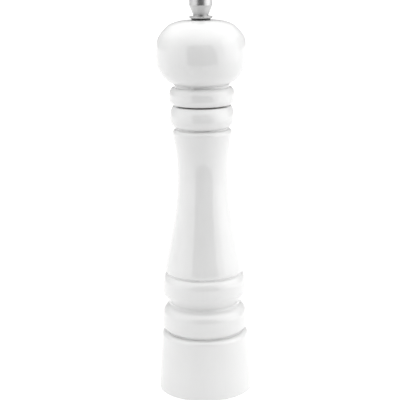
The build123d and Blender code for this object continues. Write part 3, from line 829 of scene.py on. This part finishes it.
def clip_loop(grow):
    """The clip's outline: a ring with a mouth towards +X and two notches behind its three lugs."""
    outer_r, bore_r, half_mouth, notch_r = 4.6 + grow, CLIP_BORE_R - grow, 1.7 - grow, 0.9 - grow
    mouth = atan2(half_mouth, (outer_r**2 - half_mouth**2) ** 0.5)
    loop = [(outer_r * cos(a), outer_r * sin(a)) for a in np.linspace(mouth, TURN - mouth, 72)]
    lug = atan2(half_mouth, (bore_r**2 - half_mouth**2) ** 0.5)
    for a in np.linspace(TURN - lug, lug, 72):
        radius = bore_r
        for middle in (radians(125), radians(235)):
            across = CLIP_BORE_R * sin(a - middle)
            if abs(across) < notch_r and cos(a - middle) > 0:
                radius = max(radius, CLIP_BORE_R * cos(a - middle) + (notch_r**2 - across**2) ** 0.5)
        loop.append((radius * cos(a), radius * sin(a)))
    return loop


def make_spring():
    """The compression spring, with closed end coils, in drawn wire."""
    bottom, top = low("spring"), high("spring")
    wire_r, coil_r, turns, around, per_turn = 0.6, 5.4, 6.0, 14, 40
    first, last = bottom + wire_r, top - wire_r
    steps = round(turns * per_turn)
    end_turns, end_rise, ease_share = 0.9, 0.15 * (2 * wire_r + 0.05), 0.55
    verts, faces = [], []
    for k in range(steps + 1):
        t = turns * k / steps
        middle = (t - end_turns) / (turns - 2 * end_turns)
        if middle <= 0:
            height = first + end_rise * t / end_turns
        elif middle >= 1:
            height = last - end_rise * (turns - t) / end_turns
        else:
            ease = middle - sin(TURN * middle) / TURN * ease_share
            height = first + end_rise + (last - first - 2 * end_rise) * ease
        out = Vector((cos(TURN * t), sin(TURN * t), 0))
        for i in range(around):
            a = TURN * i / around
            point = out * (coil_r + wire_r * cos(a)) + Vector((0, 0, height + wire_r * sin(a)))
            verts.append(point * MM)
    for k in range(steps):
        for i in range(around):
            j = (i + 1) % around
            faces.append((k * around + i, (k + 1) * around + i, (k + 1) * around + j, k * around + j))
    faces.append(tuple(range(around)))
    faces.append(tuple(steps * around + i for i in range(around))[::-1])
    mesh = bpy.data.meshes.new("burr_spring")
    mesh.from_pydata(verts, [], faces)
    new_object("burr_spring", mesh)
    ends = (0, 0, bottom * MM), (0, 0, top * MM)
    return finish_piece("burr_spring", ("spindle", "carrier"), ["spring"], [WIRE], ends)


def make_bridge():
    """The bent strap over the burrs with its two domed rivets."""
    gauge, bend, bore_r, edge = BRIDGE_GAUGE, 3.0, 4.2, 0.12
    outside, bottom, top = reach("bridge"), low("bridge"), high("bridge")
    width = 2 * reach("bridge", 1)

    def strap(grow):
        loop = []
        for inset in (-grow, gauge + grow):
            x, z, radius = outside - inset, top - inset, bend - inset
            side = [(x, bottom - grow)]
            for a in np.linspace(0, pi / 2, 8):
                side.append((x - radius + radius * cos(a), z - radius + radius * sin(a)))
            mirrored = [(-u, v) for u, v in reversed(side)]
            half = side + mirrored
            loop += half if not loop else list(reversed(half))
        return loop

    made = plate("bridge_strap", strap, [], -width / 2, width, edge)
    made.data.transform(Matrix.Rotation(pi / 2, 4, "X"))
    hole = Outline((0.0, top - gauge - 1)).to((bore_r, top - gauge - 1), (bore_r, top + 1), (0.0, top + 1))
    cut(made, lathe("bridge_hole", hole, segments=64))
    finish_piece("bridge_strap", "casing", ["bridge"], [PLATED])

    rivet_z, rivet_r, head_r = (low("bridge_rivets") + high("bridge_rivets")) / 2, 1.25, 1.8
    start, tip = outside - gauge - 1.4, reach("bridge_rivets")
    line = Outline((0.0, start), step=0.15).to((rivet_r, start), (rivet_r, outside), (head_r, outside))
    line.curve((0.0, tip), first=(0, 1), last=(-1, 0))
    both = bmesh.new()
    made = lathe("strap_rivets", line, segments=48)
    for turn in (pi / 2, -pi / 2):
        one = made.data.copy()
        one.transform(Matrix.Translation((0, 0, rivet_z * MM)) @ Matrix.Rotation(turn, 4, "Y"))
        both.from_mesh(one)
    both.to_mesh(made.data)
    both.free()
    finish_piece("strap_rivets", "casing", ["bridge_rivets"], [PLATED])


make_plates()
make_spring()
make_bridge()
SUNK_HEAD = [(2.7, 0.0), (2.7, SINK_RIM), (SHANK_R, SINK_DEPTH)]
PAN_HEAD = [(1.7, 0.0), (2.549, 0.351, 2.9, 1.2), (2.9, 1.7)]
make_screws("plate_screws", "drive_plate_screws", "cap", PLATE_SCREW_X, SUNK_HEAD)
make_screws("base_screws", "bar_screws", "casing", BAR_SCREW_X, PAN_HEAD)


# ---------------------------------------------------------------- floor, lights and camera
FLOOR_R, FLOOR_GLOW = 12.0, 0.56
PAPER_DARK, PAPER_LIGHT = (0.45, 0.45, 0.45), (0.48, 0.48, 0.48)
OPENING_TONE = (0.02, 0.02, 0.02)
OPENING = [(-0.36, -0.52, 0.02), (0.50, -0.52, 0.02), (0.28, -0.52, 0.50), (-0.36, -0.52, 0.50)]
SKY = 1.54
SIDE_WALL, TENT_TOP = (0.92, 0.92, 0.92), (1.14, 1.14, 1.14)
FRONT_WALL, BACK_WALL = (0.76, 0.76, 0.76), (0.28, 0.28, 0.28)
BOX_PLACE, BOX_TARGET, BOX_WIDTH, BOX_HEIGHT, BOX_POWER = (0.95, -0.1, 0.4), (0, 0, 0.15), 0.9, 1.1, 2.0
FOCAL_PX, FRAME_PX, SHIFT_PX, SENSOR_MM = 1115.6, 400, -11.365, 36.0
CAMERA_PLACE, CAMERA_PITCH, CAMERA_ROLL = (0.006045, -0.81731, 0.32898), 90 - 12.5884, -0.6674


def staged(name, mesh, coat):
    """An object of the set, which is no part of the mill."""
    made = bpy.data.objects.new(name, mesh)
    bpy.context.scene.collection.objects.link(made)
    made.data.materials.append(coat)
    return made


def make_floor():
    """A round pale floor with a glow of its own, so that it stays near white."""
    made, tree, shader, place = material("pale_floor", Roughness=0.6)
    paper = noise(tree, place, 900.0)
    tint = blend(tree, spread(tree, paper, 0.0, 1.0), PAPER_DARK, PAPER_LIGHT)
    tree.links.new(tint, shader.inputs["Base Color"])
    shader.inputs["Emission Color"].default_value = (1, 1, 1, 1)
    shader.inputs["Emission Strength"].default_value = FLOOR_GLOW
    mesh = bpy.data.meshes.new("floor")
    shape = bmesh.new()
    bmesh.ops.create_circle(shape, cap_ends=True, segments=96, radius=FLOOR_R)
    shape.to_mesh(mesh)
    shape.free()
    floor = staged("floor", mesh, made)


def make_opening():
    """The dark opening of the light tent: a flag in front of the mill that only reflections show."""
    dark, tree, shader, place = material("dark_cloth", Roughness=0.9)
    cloth = noise(tree, place, 300.0)
    tint = blend(tree, spread(tree, cloth, 0.0, 1.0), OPENING_TONE, OPENING_TONE)
    tree.links.new(tint, shader.inputs["Base Color"])
    mesh = bpy.data.meshes.new("tent_opening")
    mesh.from_pydata(OPENING, [], [(0, 1, 2, 3)])
    opening = staged("tent_opening", mesh, dark)
    opening.visible_camera = False


def make_world():
    """The tent's walls as a sky whose tone depends on its direction: brightest above, dimmer low in
    front, and dimmest low behind the mill, above the horizon."""
    world = bpy.data.worlds.new("studio")
    bpy.context.scene.world = world
    world.use_nodes = True
    sky = world.node_tree
    direction = add(sky, "SeparateXYZ", Vector=add(sky, "TexCoord").outputs["Generated"])
    y, z = direction.outputs["Y"], direction.outputs["Z"]
    behind = spread(sky, y, 0.0, 1.0, -0.15, 0.5)
    below = spread(sky, z, 0.0, 1.0, 0.75, 0.3)
    above = spread(sky, z, 0.0, 1.0, -0.02, 0.02)
    wall = maths(sky, "MULTIPLY", maths(sky, "MULTIPLY", behind, below), above)
    top = spread(sky, z, 0.0, 1.0, 0.2, 0.9)
    front = maths(sky, "MULTIPLY", spread(sky, y, 0.0, 1.0, -0.25, -0.8), below)
    tent = blend(sky, top, SIDE_WALL, TENT_TOP)
    tent = blend(sky, front, tent, FRONT_WALL)
    tent = blend(sky, wall, tent, BACK_WALL)
    shade = sky.nodes["Background"]
    sky.links.new(tent, shade.inputs["Color"])
    shade.inputs["Strength"].default_value = SKY


def make_softbox():
    """A large area light at the right that faces the mill."""
    lamp = bpy.data.lights.new("softbox_right", "AREA")
    lamp.shape = "RECTANGLE"
    lamp.size, lamp.size_y = BOX_WIDTH, BOX_HEIGHT
    lamp.energy = BOX_POWER
    made = bpy.data.objects.new("softbox_right", lamp)
    bpy.context.scene.collection.objects.link(made)
    made.location = BOX_PLACE
    made.rotation_euler = (Vector(BOX_TARGET) - Vector(BOX_PLACE)).to_track_quat("-Z", "Y").to_euler()
    made.visible_camera = False


def make_camera():
    """The camera, in front of the mill and a little above it, looking down."""
    camera_data = bpy.data.cameras.new("camera")
    camera_data.sensor_width = SENSOR_MM
    camera_data.lens = FOCAL_PX / FRAME_PX * camera_data.sensor_width
    camera_data.shift_x = SHIFT_PX / FRAME_PX
    camera_data.clip_start = 0.01
    camera = bpy.data.objects.new("camera", camera_data)
    bpy.context.scene.collection.objects.link(camera)
    camera.location = CAMERA_PLACE
    pitch = Matrix.Rotation(radians(CAMERA_PITCH), 4, "X")
    roll = Matrix.Rotation(radians(CAMERA_ROLL), 4, "Z")
    camera.rotation_euler = (pitch @ roll).to_euler()
    bpy.context.scene.camera = camera


make_floor()
make_opening()
make_world()
make_softbox()
make_camera()
bpy.context.scene.view_settings.view_transform = "Standard"
